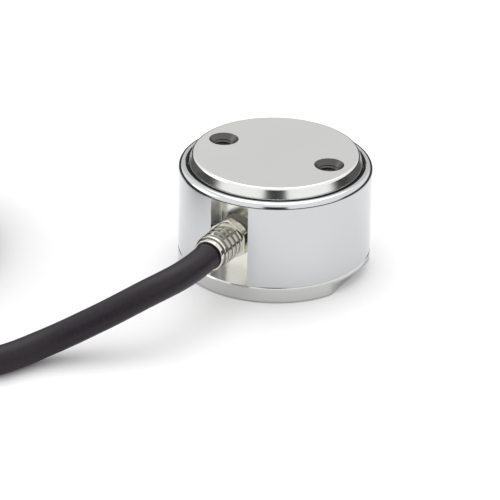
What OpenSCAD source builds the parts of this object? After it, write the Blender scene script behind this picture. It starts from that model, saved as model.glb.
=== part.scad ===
// Low compression load cell. A round steel housing stands on a base plate with two
// wrench flats. Inside it a gauged column carries a round load plate, which stands
// proud of the rim and has two tapped holes. A short gland in a pocket of the
// housing's side lets out the signal cable.
// Millimetres, +Z up. The origin lies on the axis, in the plane that the base rests on.
// The tapped holes and the wrench flats face along X, and the cable leaves towards -Y.

/* [Housing] */
// Outer diameter of the housing and of the base plate
body_d = 36; // [35:0.5:42]
// Thickness of the rim round the load plate
rim_wall = 1.35; // [1.1:0.05:2]
// Radius of the rim's outer edge
rim_edge_r = 1.1; // [0.4:0.1:1.4]
// Depth of the recess that the edge of the load plate lies in
lip_h = 0.5; // [0.4:0.05:0.7]
// Diameter of the gauge chamber
chamber_d = 18; // [17.5:0.25:19]

/* [Load plate] */
// How far the load plate stands proud of the rim
plate_proud = 2; // [1:0.1:3]
// How far the load plate's side leans in, from the rim up to its top
plate_taper = 0.65; // [0.3:0.05:1]
// Width of the bevel at the load plate's top edge
plate_bevel = 0.15; // [0.1:0.05:0.3]
// Gap between the load plate and the rim
plate_gap = 0.55; // [0.4:0.05:0.8]
// Travel before the load plate sits down on the housing
stop_gap = 0.2; // [0.1:0.05:0.3]
// Distance from the load plate's edge to the middle of each tapped hole
hole_in = 5.1; // [4.6:0.1:6.6]
// Nominal diameter of the tapped holes
hole_thread_d = 4; // [3:0.5:4]
// Bore of the tapped holes
hole_bore_d = 3.3; // [2.5:0.1:3.3]
// Depth of the tapped holes
hole_depth = 5.5; // [4:0.5:6]
// Diameter of the countersink at each tapped hole
hole_sink_d = 5.5; // [4.6:0.1:5.8]
// Wall left round the tapped holes under the load plate
boss_wall = 0.4; // [0.3:0.05:0.8]
// Height of the boss under the load plate
boss_h = 4.4; // [4.1:0.1:4.8]

/* [Column] */
// Length of the column between its foot and the boss
column_l = 7.8; // [7.2:0.1:12]
// Depth of the four flats that carry the gauges
gauge_flat_depth = 1.2; // [0.9:0.1:1.4]
// Radius at the two ends of the column
column_fillet_r = 0.8; // [0.4:0.1:1]
// Thickness of the column's foot
foot_h = 1.5; // [1.2:0.1:1.8]

/* [Base] */
// Thickness of the base flange
base_h = 3; // [2.7:0.1:3.6]
// Depth of the two wrench flats
flats_depth = 1.9; // [1:0.1:2.5]
// Height of the wrench flats
flats_h = 2.4; // [1.8:0.1:2.5]
// Height of the screwed spigot that the column stands on
spigot_h = 3; // [2.6:0.1:3.2]
// Bore of the tapped hole in the middle of the base
base_bore_d = 5; // [4.2:0.1:6.8]
// Depth of the tapped hole in the middle of the base
base_bore_depth = 4.5; // [3:0.5:5]
// Diameter of the countersink at the tapped hole
base_sink_d = 7.2; // [7:0.1:8.5]
// Width of the bevels at the joint and at the lower edge
joint_bevel = 0.2; // [0.1:0.05:0.3]
// Middle diameter of the seal between base and housing
base_seal_d = 24.4; // [22.5:0.2:25.4]
// Thickness of the seal between base and housing
base_seal_t = 1; // [0.8:0.1:1.2]

/* [Gland pocket] */
// Clearance between the gland's hexagon and the pocket's sides
pocket_gap = 0.3; // [0.2:0.05:1]
// Radius of the pocket's upright corners
pocket_corner_r = 0.6; // [0.3:0.1:1.2]
// Wall between the pocket and the load plate's boss
pocket_web = 0.8; // [0.6:0.05:1]
// Thickness of the roof over the pocket
pocket_roof = 0.5; // [0.4:0.05:0.9]

/* [Gland] */
// Distance from the gauge chamber's shelf down to the gland's axis
gland_drop = 3.2; // [2.8:0.1:3.6]
// Distance across the flats of the gland's hexagon
hex_af = 7; // [6.6:0.1:7.2]
// Thickness of the hexagon
hex_t = 1.5; // [1:0.1:1.8]
// How far the hexagon stands out of the housing's side
hex_out = 0.4; // [0.2:0.1:1]
// Wall of the crimped barrel
barrel_wall = 0.7; // [0.55:0.05:0.9]
// Length of the crimped barrel
barrel_l = 6; // [5.6:0.2:8]
// Wall of the barrel's lip
lip_wall = 0.4; // [0.35:0.05:0.5]
// Length of the barrel's lip
lip_l = 1; // [0.6:0.1:1.6]
// Number of crimped grooves
groove_n = 4; // [2:1:5]
// Distance from one crimped groove to the next
groove_pitch = 1.4; // [1:0.05:1.4]
// Width of a crimped groove
groove_w = 0.7; // [0.5:0.05:0.8]
// Depth of a crimped groove
groove_depth = 0.3; // [0.15:0.05:0.35]
// Diameter of the gland's screw thread
neck_d = 5; // [4.6:0.1:5.4]
// Diameter of the shoulder that presses on the washer
shoulder_d = 5.8; // [5.6:0.1:6.4]
// Diameter of the sealing washer
washer_d = 6.6; // [6.4:0.1:7]
// Thickness of the sealing washer
washer_t = 0.8; // [0.5:0.1:1]
// Thickness of the grommet that the cores pass
grommet_t = 1; // [0.6:0.1:1.4]
// Length of the plug that closes the core bore
plug_l = 2; // [1:0.1:3]

/* [Gauges and board] */
// Width of a strain gauge
gauge_w = 4.6; // [4:0.1:5]
// Length of the flat left free above and below a strain gauge
gauge_gap = 0.525; // [0.4:0.025:0.8]
// Thickness of a strain gauge's carrier film
gauge_t = 0.12; // [0.08:0.01:0.2]
// Thickness of the metal foil on the carrier film
foil_t = 0.05; // [0.04:0.01:0.08]
// Thickness of the bridge board
board_t = 0.8; // [0.6:0.1:1]
// Width of the ring that the bridge board is cut to
board_w = 2; // [1.8:0.1:2.4]
// Length of a trimming resistor
resistor_l = 1.6; // [1.2:0.1:2]
// Width of a trimming resistor
resistor_w = 0.8; // [0.6:0.1:1]
// Height of a trimming resistor
resistor_h = 0.5; // [0.35:0.05:0.7]
// Diameter of a gauge wire
gauge_wire_d = 0.25; // [0.2:0.05:0.35]
// Diameter of one core of the cable
core_d = 1; // [0.8:0.05:1]

/* [Cable] */
// Diameter of the cable
cable_d = 5; // [4.8:0.1:5.2]
// Number of turns beside each other in the coil
coil_across = 3; // [3:1:4]
// Number of layers in the coil
coil_layers = 3; // [2:1:3]
// Middle radius of the coil
coil_mid_r = 25.5; // [25:0.5:28]
// Length of the coil's free run-in
coil_run_in = 26; // [20:1:30]
// Angle of the top layer's inner turn that the stripped leads take up
leads_angle = 132; // [128:1:140]
// Length of the shrunk sleeve at the cable's end
sleeve_l = 8; // [5:0.5:12]
// Width of the tie round the coil
tie_w = 3.6; // [2.5:0.1:6]
// Thickness of the tie round the coil
tie_t = 0.6; // [0.4:0.1:1]

/* [Hidden] */
$fn = 96;

// Small clearances between pieces that fit together
fit = 0.05;
boss_gap = 0.3;
board_gap = 0.15;
core_fit = 0.02;
eps = 0.01;

// Small steps: flat land of the rim, wall that the neck stops short in, rubber between
// two cores and outside them, the seal's top below the rim and its edge radius
rim_land = 0.1;
neck_back = 0.6;
core_web = 0.12;
core_edge = 0.12;
seal_drop = 0.1;
seal_edge_r = 0.12;

// Heights of the housing and of what it holds, from the base up to the load plate
foot_z = base_h + spigot_h;
column_z = foot_z + foot_h;
boss_z = column_z + column_l;
shelf_z = boss_z - boss_gap;
plate_z = boss_z + boss_h;
recess_z = plate_z - stop_gap;
rim_top = recess_z + lip_h;
total_h = rim_top + plate_proud;

// Radii, from the outside to the column in the middle
body_r = body_d / 2;
flats_x = body_r - flats_depth;
rim_in_r = body_r - rim_wall;
plate_r = rim_in_r - plate_gap;
hole_x = plate_r - hole_in;
boss_r = hole_x + hole_thread_d / 2 + boss_wall;
shelf_r = boss_r + boss_gap;
chamber_r = chamber_d / 2;
board_r = chamber_r - board_gap;
board_in_r = board_r - board_w;
column_r = board_in_r - fit - column_fillet_r;
gauge_flat_y = column_r - gauge_flat_depth;

// Places along the gland's axis, measured outwards from the axis of the housing
gland_z = shelf_z - gland_drop;
pocket_w = hex_af + 2 * pocket_gap;
pocket_y = shelf_r + pocket_web;
pocket_top = recess_z - pocket_roof;
neck_end_y = chamber_r + neck_back;
washer_y = pocket_y + washer_t;
hex_front_y = body_r + hex_out;
hex_back_y = hex_front_y - hex_t;
grommet_y = hex_back_y;
cable_start_y = grommet_y + grommet_t;
barrel_end_y = hex_front_y + barrel_l;
gland_end_y = barrel_end_y + lip_l;
groove_y = hex_front_y + (barrel_l - (groove_n - 1) * groove_pitch) / 2;

// Board, gauges and wires
board_z = column_z;
board_top = board_z + board_t;
core_r = core_d / 2;
core_step = core_r + core_web;
core_bore_d = 2 * (core_step * sqrt(2) + core_r + core_edge);
core_hole_r = core_r + core_fit;
core_bend_r = 0.9;
drop_out_y = board_r - core_r - fit;
drop_in_y = drop_out_y - core_d - fit;
strip_t = 0.15;
strip_w = 4.2;
strip_h = 0.7;
strip_z = column_z + column_fillet_r + fit + strip_h / 2;
strip_top_z = strip_z + strip_h / 2;
flat_top_z = boss_z - column_fillet_r;
gauge_h = flat_top_z - strip_top_z - 2 * gauge_gap;
gauge_z = (strip_top_z + flat_top_z) / 2;
wire_x = 1.4;
wire_bend_r = strip_z - board_top;
wire_in = 0.35;
wire_end_y = board_in_r + wire_in;
tab_w = 0.9;
tab_h = 0.6;

// Route of the cable's middle line, from inside the gland to the coil's run-in. The cable
// ends on the inner turn of the top layer, at cable_end_at.
cable_r = cable_d / 2;
cable_route = [
    [0, -cable_start_y, gland_z], [0, -22, gland_z], [0, -26, gland_z], [0, -30, gland_z],
    [-0.7, -34, 11.5], [-2.2, -37.6, 10.9], [-4.1, -40.6, 10], [-6.2, -43.3, 8.8],
    [-8.4, -45.7, 7.5], [-10.7, -47.9, 6.2], [-12.9, -50.1, 5], [-15.1, -52.4, 3.9],
    [-17.1, -55, 3.1], [-18.9, -58, 2.6], [-20.6, -61.2, 2.5], [-23.3, -64.9, 2.5],
    [-26.9, -67.8, 2.5], [-31.1, -69.6, 2.5], [-35.6, -70.2, 2.5], [-40, -70.2, 2.5],
    [-45, -70.2, 2.5], [-50, -70.2, 2.5]
];
route_end = cable_route[len(cable_route) - 1];
end_way = unit(route_end - cable_route[len(cable_route) - 2]);
coil_out_r = coil_mid_r + (coil_across - 1) / 2 * cable_d;
coil_in_r = coil_mid_r - (coil_across - 1) / 2 * cable_d;
coil_join = route_end + coil_run_in * end_way;
coil_mid = coil_join + coil_out_r * [end_way[1], -end_way[0], 0];
join_angle = atan2(end_way[0], -end_way[1]);
coil_h = coil_layers * cable_d;
coil_edge_r = 1.5;
run_in_slack = 0.02;
run_in_r = cable_r - run_in_slack;
tie_at = join_angle + 215;
cable_end_at = join_angle + 5;
sleeve_angle = sleeve_l / coil_in_r * 180 / PI;
tie_angle = tie_w / coil_mid_r * 180 / PI;
tie_head = [4.6, 5.2, 2.6];
lead_row = core_d + fit;
lead_rise = 0.9 * lead_row;
lead_z = coil_h - cable_d + core_r;
lead_l = [38, 36, 34, 32, 28];

function unit(v) = v / norm(v);
function way(path, i) =
    i == 0 ? unit(path[1] - path[0]) :
    i == len(path) - 1 ? unit(path[i] - path[i - 1]) :
    unit(unit(path[i + 1] - path[i]) + unit(path[i] - path[i - 1]));
function side(t) = unit(cross(t, [0, 0, 1]));
function ring_points(path, i, r, n) =
    let (t = way(path, i), s = side(t), u = cross(s, t))
    [for (k = [0 : n - 1]) path[i] + r * (cos(360 * k / n) * s + sin(360 * k / n) * u)];

// A tube of n sides and radius r along a path
module tube(path, r, n) {
    count = len(path);
    points = [for (i = [0 : count - 1]) each ring_points(path, i, r, n)];
    walls = [for (i = [0 : count - 2], k = [0 : n - 1])
        [i * n + k, i * n + (k + 1) % n, (i + 1) * n + (k + 1) % n, (i + 1) * n + k]];
    start = [for (k = [n - 1 : -1 : 0]) k];
    finish = [for (k = [0 : n - 1]) (count - 1) * n + k];
    polyhedron(points, concat([start], walls, [finish]));
}

// Places a shape that is drawn along +Z on the gland's axis, y measured outwards
module on_gland(y) {
    translate([0, -y, gland_z]) rotate([90, 0, 0]) children();
}

// The steel flange that the cell stands on. Its spigot screws into the gauge chamber.
module base_plate() {
    color("lightgray")
    difference() {
        union() {
            rotate_extrude() polygon([
                [0, 0], [body_r - joint_bevel, 0], [body_r, joint_bevel],
                [body_r, base_h - joint_bevel], [body_r - joint_bevel, base_h], [0, base_h]
            ]);
            cylinder(h = foot_z, r = chamber_r - fit);
        }
        for (s = [-1, 1])
            translate([s * (flats_x + body_r / 2), 0, flats_h / 2 - 1])
                cube([body_r, body_d, flats_h + 2], center = true);
        translate([0, 0, -eps]) cylinder(h = base_bore_depth + eps, d = base_bore_d);
        translate([0, 0, -eps])
            cylinder(h = (base_sink_d - base_bore_d) / 2, d1 = base_sink_d, d2 = base_bore_d);
        rotate_extrude()
            translate([base_seal_d / 2 - base_seal_t / 2 - fit, base_h - base_seal_t])
                square([base_seal_t + 2 * fit, base_seal_t + eps]);
    }
}

// Round rubber seal in the groove of the base plate
module base_seal_ring() {
    color("black")
    rotate_extrude()
        translate([base_seal_d / 2, base_h - base_seal_t / 2]) circle(d = base_seal_t, $fn = 48);
}

// Section of the housing, from the gauge chamber out to the rim
module housing_section() {
    edge_r = min(rim_edge_r, rim_wall - rim_land);
    difference() {
        translate([chamber_r, base_h]) square([body_r - chamber_r, rim_top - base_h]);
        translate([chamber_r - eps, shelf_z]) square([shelf_r - chamber_r + eps, rim_top]);
        translate([chamber_r, recess_z]) square([rim_in_r - chamber_r, rim_top]);
        translate([body_r - edge_r, rim_top - edge_r]) difference() {
            square(edge_r + 1);
            circle(edge_r);
        }
        translate([body_r, base_h]) rotate(45) square(joint_bevel * sqrt(2), center = true);
    }
}

// Upright pocket that the gland sits in, open at the foot of the housing
module pocket_space() {
    depth = body_r + 2 - pocket_y;
    r = pocket_corner_r;
    translate([-pocket_w / 2, -pocket_y - depth, base_h - 1])
        cube([pocket_w, depth - r, pocket_top - base_h + 1]);
    translate([-pocket_w / 2 + r, -pocket_y - depth, base_h - 1])
        cube([pocket_w - 2 * r, depth, pocket_top - base_h + 1]);
    for (s = [-1, 1])
        translate([s * (pocket_w / 2 - r), -pocket_y - r, base_h - 1])
            cylinder(h = pocket_top - base_h + 1, r = r, $fn = 48);
}

// The steel body: gauge chamber, shelf, recess and rim in one turned piece
module housing_ring() {
    color("gainsboro")
    difference() {
        rotate_extrude() housing_section();
        pocket_space();
        on_gland(0) cylinder(h = pocket_y + 1, d = neck_d + 2 * fit);
    }
}

// Section of the spring body: foot, column with its fillets, boss and load plate
module spring_section() {
    f = column_fillet_r;
    translate([0, foot_z]) square([chamber_r - fit, foot_h]);
    translate([0, foot_z]) square([column_r, boss_z - foot_z + eps]);
    translate([column_r - eps, column_z - eps]) difference() {
        square(f + eps);
        translate([f + eps, f + eps]) circle(f);
    }
    translate([column_r - eps, boss_z - f]) difference() {
        square(f + eps);
        translate([f + eps, 0]) circle(f);
    }
    translate([0, boss_z]) square([boss_r, boss_h + eps]);
    polygon([
        [0, plate_z], [plate_r, plate_z], [plate_r, rim_top],
        [plate_r - plate_taper, total_h - plate_bevel],
        [plate_r - plate_taper - plate_bevel, total_h], [0, total_h]
    ]);
}

// The spring body that the load is measured in, one piece of hardened steel
module spring_column() {
    color("silver")
    difference() {
        rotate_extrude() spring_section();
        for (a = [0 : 90 : 270])
            rotate([0, 0, a])
                translate([-body_r, -gauge_flat_y - body_r, column_z + column_fillet_r])
                    cube([body_d, body_r, flat_top_z - column_z - column_fillet_r]);
        for (s = [-1, 1]) translate([s * hole_x, 0, total_h]) {
            translate([0, 0, -hole_depth]) cylinder(h = hole_depth + 1, d = hole_bore_d);
            translate([0, 0, -(hole_sink_d - hole_bore_d) / 2])
                cylinder(h = (hole_sink_d - hole_bore_d) / 2 + eps,
                    d1 = hole_bore_d, d2 = hole_sink_d + 2 * eps);
        }
    }
}

// Soft ring that keeps dust out of the gap round the load plate
module gap_seal_ring() {
    w = plate_gap - 2 * fit;
    h = lip_h - seal_drop;
    r = seal_edge_r;
    color("black")
    rotate_extrude() translate([plate_r + fit, recess_z]) {
        square([w, h - r]);
        translate([r, 0]) square([w - 2 * r, h]);
        for (x = [r, w - r]) translate([x, h - r]) circle(r, $fn = 32);
    }
}

// One strain gauge: carrier film and foil grid, drawn on the plane y = 0 facing -Y
module gauge() {
    lines = 7;
    grid_w = gauge_w * 0.56;
    grid_h = gauge_h * 0.52;
    line_w = grid_w / (2 * lines - 1);
    grid_up = 0.3;
    foot_in = 0.35;
    foot = -gauge_h / 2 + foot_in;
    color("peru")
    translate([-gauge_w / 2, -gauge_t, -gauge_h / 2]) cube([gauge_w, gauge_t, gauge_h]);
    color("goldenrod")
    translate([0, -gauge_t - foil_t, 0]) {
        for (i = [0 : lines - 1])
            translate([-grid_w / 2 + 2 * i * line_w, 0, -grid_h / 2 + grid_up])
                cube([line_w, foil_t + eps, grid_h]);
        for (i = [0 : lines - 2])
            translate([-grid_w / 2 + 2 * i * line_w, 0,
                i % 2 == 0 ? grid_h / 2 + grid_up - line_w : -grid_h / 2 + grid_up])
                cube([3 * line_w, foil_t + eps, line_w]);
        for (s = [-1, 1]) {
            translate([s * wire_x - tab_w / 2, 0, foot]) cube([tab_w, foil_t + eps, tab_h]);
            translate([s * (grid_w - line_w) / 2 - line_w / 2, 0, foot + tab_h / 2])
                cube([line_w, foil_t + eps, gauge_h / 2 - grid_h / 2]);
        }
    }
}

// Puts a piece of a gauge station on one of the column's four flats
module on_flat(a, z) {
    rotate([0, 0, a]) translate([0, -gauge_flat_y, z]) children();
}

module gauge_front() on_flat(0, gauge_z) gauge();
module gauge_right() on_flat(90, gauge_z) gauge();
module gauge_back() on_flat(180, gauge_z) gauge();
module gauge_left() on_flat(270, gauge_z) gauge();

// Solder strips below the gauges, one on each flat with two pads
module terminal_strips() {
    for (a = [0 : 90 : 270]) on_flat(a, strip_z) {
        color("peru")
        translate([-strip_w / 2, -strip_t, -strip_h / 2]) cube([strip_w, strip_t, strip_h]);
        color("silver")
        for (s = [-1, 1])
            translate([s * wire_x - tab_w / 2, -strip_t - foil_t, -strip_h / 2 + fit])
                cube([tab_w, foil_t + eps, strip_h - 2 * fit]);
    }
}

// Thin wires from the solder strips down to the bridge board
module gauge_wires() {
    start = gauge_flat_y + strip_t + foil_t;
    r = wire_bend_r;
    color("firebrick")
    for (a = [0 : 90 : 270], s = [-1, 1]) rotate([0, 0, a]) translate([s * wire_x, 0, 0]) {
        translate([0, -start, strip_z]) rotate([90, 0, 0])
            cylinder(h = wire_end_y - r - start, d = gauge_wire_d, $fn = 24);
        translate([0, -wire_end_y + r, board_top]) rotate([90, 0, -90])
            rotate_extrude(angle = 90) translate([r, 0]) circle(d = gauge_wire_d, $fn = 24);
    }
}

// Ring board that joins the four gauges into a bridge, lying on the column's foot
module bridge_board() {
    color("seagreen")
    translate([0, 0, board_z]) difference() {
        cylinder(h = board_t, r = board_r);
        translate([0, 0, -1]) cylinder(h = board_t + 2, r = board_in_r);
    }
}

// Trimming resistors on the bridge board, one between each two gauges
module trim_resistors() {
    color("dimgray")
    for (a = [45 : 90 : 315])
        rotate([0, 0, a])
            translate([(board_in_r + board_r - resistor_w) / 2, -resistor_l / 2, board_top])
                cube([resistor_w, resistor_l, resistor_h]);
}

// Section of the crimped barrel and its lip, along the gland's axis
module barrel_section() {
    front_r = 0.3;
    bore_r = cable_r + fit;
    barrel_r = bore_r + barrel_wall;
    lip_r = bore_r + lip_wall;
    difference() {
        union() {
            square([barrel_r, barrel_l - front_r]);
            square([barrel_r - front_r, barrel_l]);
            translate([barrel_r - front_r, barrel_l - front_r]) circle(front_r, $fn = 32);
            square([lip_r, barrel_l + lip_l - front_r]);
            square([lip_r - front_r, barrel_l + lip_l]);
            translate([lip_r - front_r, barrel_l + lip_l - front_r]) circle(front_r, $fn = 32);
        }
        for (i = [0 : groove_n - 1])
            translate([barrel_r + groove_w / 2 - groove_depth,
                groove_y - hex_front_y + i * groove_pitch])
                circle(d = groove_w, $fn = 32);
        translate([-1, -1]) square([1, barrel_l + lip_l + 2]);
    }
}

// The plated gland: screw neck, shoulder, hexagon with bevelled corners, crimped barrel
module gland_body() {
    corner_r = hex_af / sqrt(3);
    bevel = 0.35;
    color("lightsteelblue")
    on_gland(0) difference() {
        union() {
            translate([0, 0, neck_end_y]) cylinder(h = hex_back_y - neck_end_y + eps, d = neck_d);
            translate([0, 0, washer_y]) cylinder(h = hex_back_y - washer_y + eps, d = shoulder_d);
            translate([0, 0, hex_back_y]) intersection() {
                rotate([0, 0, 30]) cylinder(h = hex_t, r = corner_r, $fn = 6);
                rotate_extrude() polygon([
                    [0, 0], [corner_r - bevel, 0], [corner_r, bevel / 2],
                    [corner_r, hex_t - bevel], [corner_r - 2 * bevel, hex_t], [0, hex_t]
                ]);
            }
            translate([0, 0, hex_front_y - eps]) rotate_extrude() barrel_section();
        }
        translate([0, 0, neck_end_y - 1])
            cylinder(h = gland_end_y - neck_end_y + 2, d = core_bore_d);
        translate([0, 0, grommet_y])
            cylinder(h = gland_end_y - grommet_y + 1, d = cable_d + 2 * fit);
    }
}

// Sealing washer between the gland's shoulder and the back of the pocket
module gland_washer() {
    color("black")
    on_gland(pocket_y) difference() {
        cylinder(h = washer_t, d = washer_d);
        translate([0, 0, -1]) cylinder(h = washer_t + 2, d = neck_d + 2 * fit);
    }
}

// Places something at each of the four cores, x and height being signs
module at_cores() {
    for (x = [-1, 1], z = [-1, 1]) translate([x * core_step, z * core_step, 0]) children();
}

// A round rubber piece with four holes for the cores
module cored_plug(d, h) {
    difference() {
        cylinder(h = h, d = d);
        at_cores() translate([0, 0, -1]) cylinder(h = h + 2, r = core_hole_r, $fn = 48);
    }
}

// Rubber disc that the cut end of the cable presses on
module core_grommet() {
    color("dimgray")
    on_gland(grommet_y) cored_plug(cable_d + fit, grommet_t);
}

// Sealing plug at the inner end of the gland
module chamber_plug() {
    color("whitesmoke")
    on_gland(neck_end_y) cored_plug(core_bore_d - fit, plug_l);
}

// One core of the cable, from the grommet's outer face down to the bridge board
module inner_core(x, z, drop_y) {
    height = gland_z + z * core_step;
    bend_y = drop_y + core_bend_r;
    translate([x * core_step, 0, 0]) {
        translate([0, -bend_y, height]) rotate([90, 0, 0])
            cylinder(h = cable_start_y - bend_y, d = core_d, $fn = 48);
        translate([0, -bend_y, height - core_bend_r]) rotate([90, 0, 90])
            rotate_extrude(angle = 90) translate([core_bend_r, 0]) circle(d = core_d, $fn = 48);
        translate([0, -drop_y, board_top])
            cylinder(h = height - core_bend_r - board_top, d = core_d, $fn = 48);
    }
}

module inner_core_red() color("red") inner_core(-1, 1, drop_in_y);
module inner_core_black() color("black") inner_core(1, 1, drop_in_y);
module inner_core_green() color("green") inner_core(-1, -1, drop_out_y);
module inner_core_white() color("white") inner_core(1, -1, drop_out_y);

// The cable from the gland to the coil, laid out on the table
module cable_run() {
    color([0.19, 0.16, 0.19])
    tube(cable_route, cable_r, 12);
}

// A rounded bar's section, r and z measured from its lower inner corner
module bar_section(w, h, r) {
    translate([r, 0]) square([w - 2 * r, h]);
    translate([0, r]) square([w, h - 2 * r]);
    for (x = [r, w - r], y = [r, h - r]) translate([x, y]) circle(r, $fn = 48);
}

// Sweeps a section round the coil's middle, from one angle over so many degrees
module round_coil(start, turn) {
    translate([coil_mid[0], coil_mid[1], 0]) rotate([0, 0, start])
        rotate_extrude(angle = turn) children();
}

// The rest of the cable, wound into a flat coil with its run-in
module cable_coil() {
    color([0.19, 0.16, 0.19])
    difference() {
        union() {
            round_coil(0, 360) translate([coil_in_r - cable_r, 0])
                bar_section(coil_across * cable_d, coil_h, coil_edge_r);
            translate(route_end) rotate([0, 90, atan2(end_way[1], end_way[0])])
                cylinder(h = coil_run_in, r = run_in_r, $fn = 48);
        }
        round_coil(cable_end_at - leads_angle, leads_angle)
            translate([coil_in_r - cable_r - 1, coil_h - cable_d])
                square([cable_d + 1, cable_d + 1]);
        round_coil(tie_at - tie_angle / 2, tie_angle)
            translate([coil_in_r - cable_r - 1, -1])
                square([coil_across * cable_d + 2, tie_t + 1]);
    }
}

// Plastic tie that holds the coil's turns together, with its head on top
module coil_tie() {
    inner_w = coil_across * cable_d;
    color("dimgray") {
        round_coil(tie_at - tie_angle / 2, tie_angle) difference() {
            translate([coil_in_r - cable_r - tie_t, 0])
                square([inner_w + 2 * tie_t, coil_h + 2 * tie_t]);
            translate([coil_in_r - cable_r, tie_t]) square([inner_w, coil_h]);
        }
        translate([coil_mid[0], coil_mid[1], coil_h + 2 * tie_t - eps])
            rotate([0, 0, tie_at])
                translate([coil_mid_r - tie_head[0] / 2, -tie_head[1] / 2, 0]) cube(tie_head);
    }
}

// Shrunk sleeve on the cable's far end
module end_sleeve() {
    color("black")
    round_coil(cable_end_at - sleeve_angle, sleeve_angle)
        translate([coil_in_r, coil_h - cable_r]) circle(cable_r, $fn = 48);
}

// One stripped lead, lying on the turn below it
module lead(shift, row, length) {
    turn = length / coil_in_r * 180 / PI;
    round_coil(cable_end_at - sleeve_angle - turn, turn)
        translate([coil_in_r + shift * lead_row, lead_z + row * lead_rise])
            circle(core_r, $fn = 32);
}

module lead_red() color("red") lead(-1, 0, lead_l[0]);
module lead_black() color("black") lead(0, 0, lead_l[1]);
module lead_green() color("green") lead(1, 0, lead_l[2]);
module lead_white() color("white") lead(-0.5, 1, lead_l[3]);
module lead_shield() color("silver") lead(0.5, 1, lead_l[4]);

base_plate();
base_seal_ring();
housing_ring();
spring_column();
gap_seal_ring();
gauge_front();
gauge_right();
gauge_back();
gauge_left();
terminal_strips();
gauge_wires();
bridge_board();
trim_resistors();
gland_body();
gland_washer();
core_grommet();
chamber_plug();
inner_core_red();
inner_core_black();
inner_core_green();
inner_core_white();
cable_run();
cable_coil();
coil_tie();
end_sleeve();
lead_red();
lead_black();
lead_green();
lead_white();
lead_shield();
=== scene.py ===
"""Looks of a low column load cell with its crimped gland and its signal cable.

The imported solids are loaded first. Each section then makes one piece of the cell, or a
group of like pieces, in the order in which the cell is put together. Metres, +Z up.
"""

import math

import bmesh
import bpy
from mathutils import Matrix, Vector


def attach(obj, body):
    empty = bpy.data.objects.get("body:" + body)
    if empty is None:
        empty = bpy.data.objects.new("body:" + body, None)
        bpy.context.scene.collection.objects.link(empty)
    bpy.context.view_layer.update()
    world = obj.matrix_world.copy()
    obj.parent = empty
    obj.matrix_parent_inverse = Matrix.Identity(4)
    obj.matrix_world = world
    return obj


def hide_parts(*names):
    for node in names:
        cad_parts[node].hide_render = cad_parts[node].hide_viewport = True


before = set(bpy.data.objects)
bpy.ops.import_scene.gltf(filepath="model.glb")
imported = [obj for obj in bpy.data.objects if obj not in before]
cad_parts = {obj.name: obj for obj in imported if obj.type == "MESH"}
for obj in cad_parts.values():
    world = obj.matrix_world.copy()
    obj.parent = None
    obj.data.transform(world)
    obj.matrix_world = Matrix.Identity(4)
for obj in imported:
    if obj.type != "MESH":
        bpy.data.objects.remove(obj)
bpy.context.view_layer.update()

# ---- Camera, table top and studio light ----
# The camera stands where a pinhole fit of the photograph puts it: a little above the
# cell, turned towards the side that the cable leaves from. The table is plain and pale.
MM = 0.001
camera_data = bpy.data.cameras.new("camera")
camera_data.sensor_width = 36
camera_data.lens = 177.94
camera_data.clip_start = 0.05
camera = bpy.data.objects.new("camera", camera_data)
bpy.context.scene.collection.objects.link(camera)
camera_right = Vector((0.87797, 0.47847, 0.01556))
camera_up = Vector((-0.23415, 0.40084, 0.88572))
camera_back = Vector((0.41755, -0.78128, 0.46396))
camera.matrix_world = Matrix.Translation(
    Vector((190.278, -365.520, 217.248)) * MM
) @ Matrix((camera_right, camera_up, camera_back)).transposed().to_4x4()
bpy.context.scene.camera = camera


def plain_paint(name, colour, roughness):
    """A material of one even colour, for what isn't part of the cell."""
    paint = bpy.data.materials.new(name)
    paint.use_nodes = True
    shader = paint.node_tree.nodes["Principled BSDF"]
    shader.inputs["Base Color"].default_value = (*colour, 1)
    shader.inputs["Roughness"].default_value = roughness
    return paint


def feed(tree, socket, term):
    """Sets a socket to a number, or links another node's output to it."""
    if isinstance(term, (int, float)):
        socket.default_value = term
    else:
        tree.links.new(term, socket)


def worked(tree, kind, *terms):
    """The result of a Math node, from numbers or outputs of other nodes."""
    node = tree.nodes.new("ShaderNodeMath")
    node.operation = kind
    for socket, term in zip(node.inputs, terms):
        feed(tree, socket, term)
    return node.outputs[0]


def mapped(tree, value, low, high, to_low=0.0, to_high=1.0, kind="LINEAR"):
    """A value brought from one range to another and held at its ends."""
    node = tree.nodes.new("ShaderNodeMapRange")
    node.interpolation_type = kind
    ends = {"Value": value, "From Min": low, "From Max": high, "To Min": to_low, "To Max": to_high}
    for name, term in ends.items():
        feed(tree, node.inputs[name], term)
    return node.outputs["Result"]


table_half = 6.0
table_drop = 0.05  # keeps the table's face clear of the cell's underside
table_mesh = bpy.data.meshes.new("table_top")
table_mesh.from_pydata(
    [(table_half * x, table_half * y, 0) for x, y in ((-1, -1), (1, -1), (1, 1), (-1, 1))],
    [],
    [(0, 1, 2, 3)],
)
table_top = bpy.data.objects.new("table_top", table_mesh)
bpy.context.scene.collection.objects.link(table_top)
table_top.location.z = -table_drop * MM
table_paint = plain_paint("table_white", (0.86, 0.86, 0.86), 0.8)
table_mesh.materials.append(table_paint)


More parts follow.
